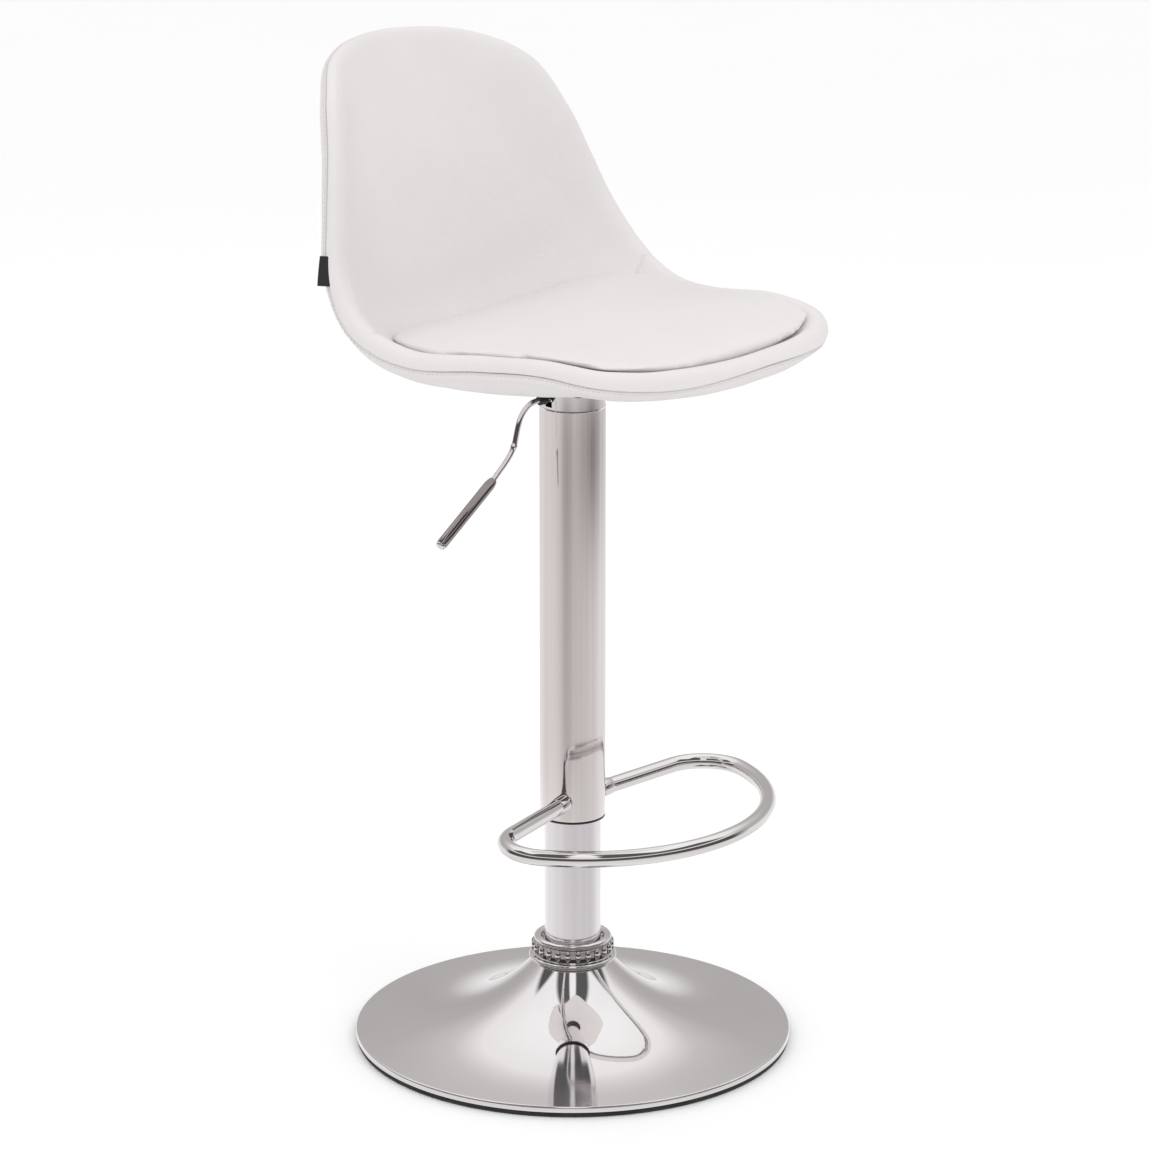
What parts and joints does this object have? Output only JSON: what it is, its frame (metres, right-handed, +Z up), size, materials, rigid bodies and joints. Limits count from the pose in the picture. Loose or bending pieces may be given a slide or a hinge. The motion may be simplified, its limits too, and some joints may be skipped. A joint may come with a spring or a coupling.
{
  "type": "adjustable swivel stool",
  "caption": "Height-adjustable swivel stool: trumpet base, gas-spring column, sliding tube with a footrest hoop, release lever and an upholstered bucket seat.",
  "frame": {"origin": "column axis at floor level", "axes": "+Z up along the column, seat front towards -Y, release lever towards -X"},
  "size_m": [0.411, 0.4319, 0.8865],
  "materials": {
    "chrome": "mirror-bright chrome plating",
    "column_steel": "satin-bright chromed steel, slightly cool",
    "bright_steel": "ground steel",
    "dark_steel": "black powder-coated or oiled steel",
    "cast_iron": "rough painted casting",
    "brass": "turned brass",
    "black_rubber": "matte rubber",
    "black_plastic": "moulded black plastic",
    "black_fabric": "woven tape",
    "plywood": "moulded beech plywood, hidden by the covers",
    "faux_leather": "off-white faux leather, fine grain, soft sheen"
  },
  "bodies": {
    "base": {"floor_ring": "black_rubber", "base_shell": "chrome", "counterweight": "cast_iron", "column_flange": "dark_steel", "column_bolts": "dark_steel", "column_end_plug": "dark_steel", "column_tube": "column_steel", "guide_bush": "black_plastic", "base_collar": "chrome", "thrust_washer_lower": "bright_steel"},
    "bearing": {"ball_cage": "brass", "thrust_balls": "bright_steel"},
    "rod": {"thrust_washer_upper": "bright_steel", "rod_clip_upper": "dark_steel", "rod_clip_lower": "dark_steel", "piston_rod": "chrome", "piston": "brass", "piston_ring": "black_plastic", "rod_buffer": "black_rubber"},
    "lift": {"gas_cylinder": "dark_steel", "cylinder_end_cap": "bright_steel", "valve_head": "bright_steel", "outer_tube": "chrome", "tube_bush": "black_plastic", "footrest_hoop": "chrome", "footrest_sockets": "chrome", "seat_hub": "chrome", "seat_plate": "dark_steel", "mount_block": "plywood", "seat_screws": "dark_steel", "t_nuts": "bright_steel", "lever_pivot_pin": "bright_steel", "seat_shell": "plywood", "front_cover": "faux_leather", "rear_cover": "faux_leather", "edge_roll": "faux_leather", "seat_cushion": "faux_leather", "side_tag": "black_fabric"},
    "lever": {"lever_arm": "chrome", "lever_wire": "chrome", "lever_grip": "chrome", "grip_cap": "chrome", "lever_bush": "black_plastic"},
    "button": {"release_button": "bright_steel"}
  },
  "joints": [
    {"name": "swivel", "type": "hinge", "parent": "base", "child": "rod", "pos_m": [0, 0, 0.03], "axis": [0, 0, 1], "continuous": true},
    {"name": "bearing_spin", "type": "hinge", "parent": "base", "child": "bearing", "pos_m": [0, 0, 0.03], "axis": [0, 0, 1], "continuous": true},
    {"name": "lift_slide", "type": "slide", "parent": "rod", "child": "lift", "axis": [0, 0, 1], "range_m": [-0.105, 0.105]},
    {"name": "lever_hinge", "type": "hinge", "parent": "lift", "child": "lever", "pos_m": [-0.0197, 0.00347, 0.592], "axis": [0.1736, 0.9848, 0], "range_deg": [0, 8], "stiffness_Nm_per_rad": 2, "springref_deg": -3.44},
    {"name": "button_slide", "type": "slide", "parent": "lift", "child": "button", "axis": [0, 0, 1], "range_m": [-0.003, 0]}
  ],
  "couplings": [
    {"joint": "bearing_spin", "follows": "swivel", "ratio": 0.5},
    {"joint": "button_slide", "follows": "lever_hinge", "m_per_rad": -0.0214}
  ]
}
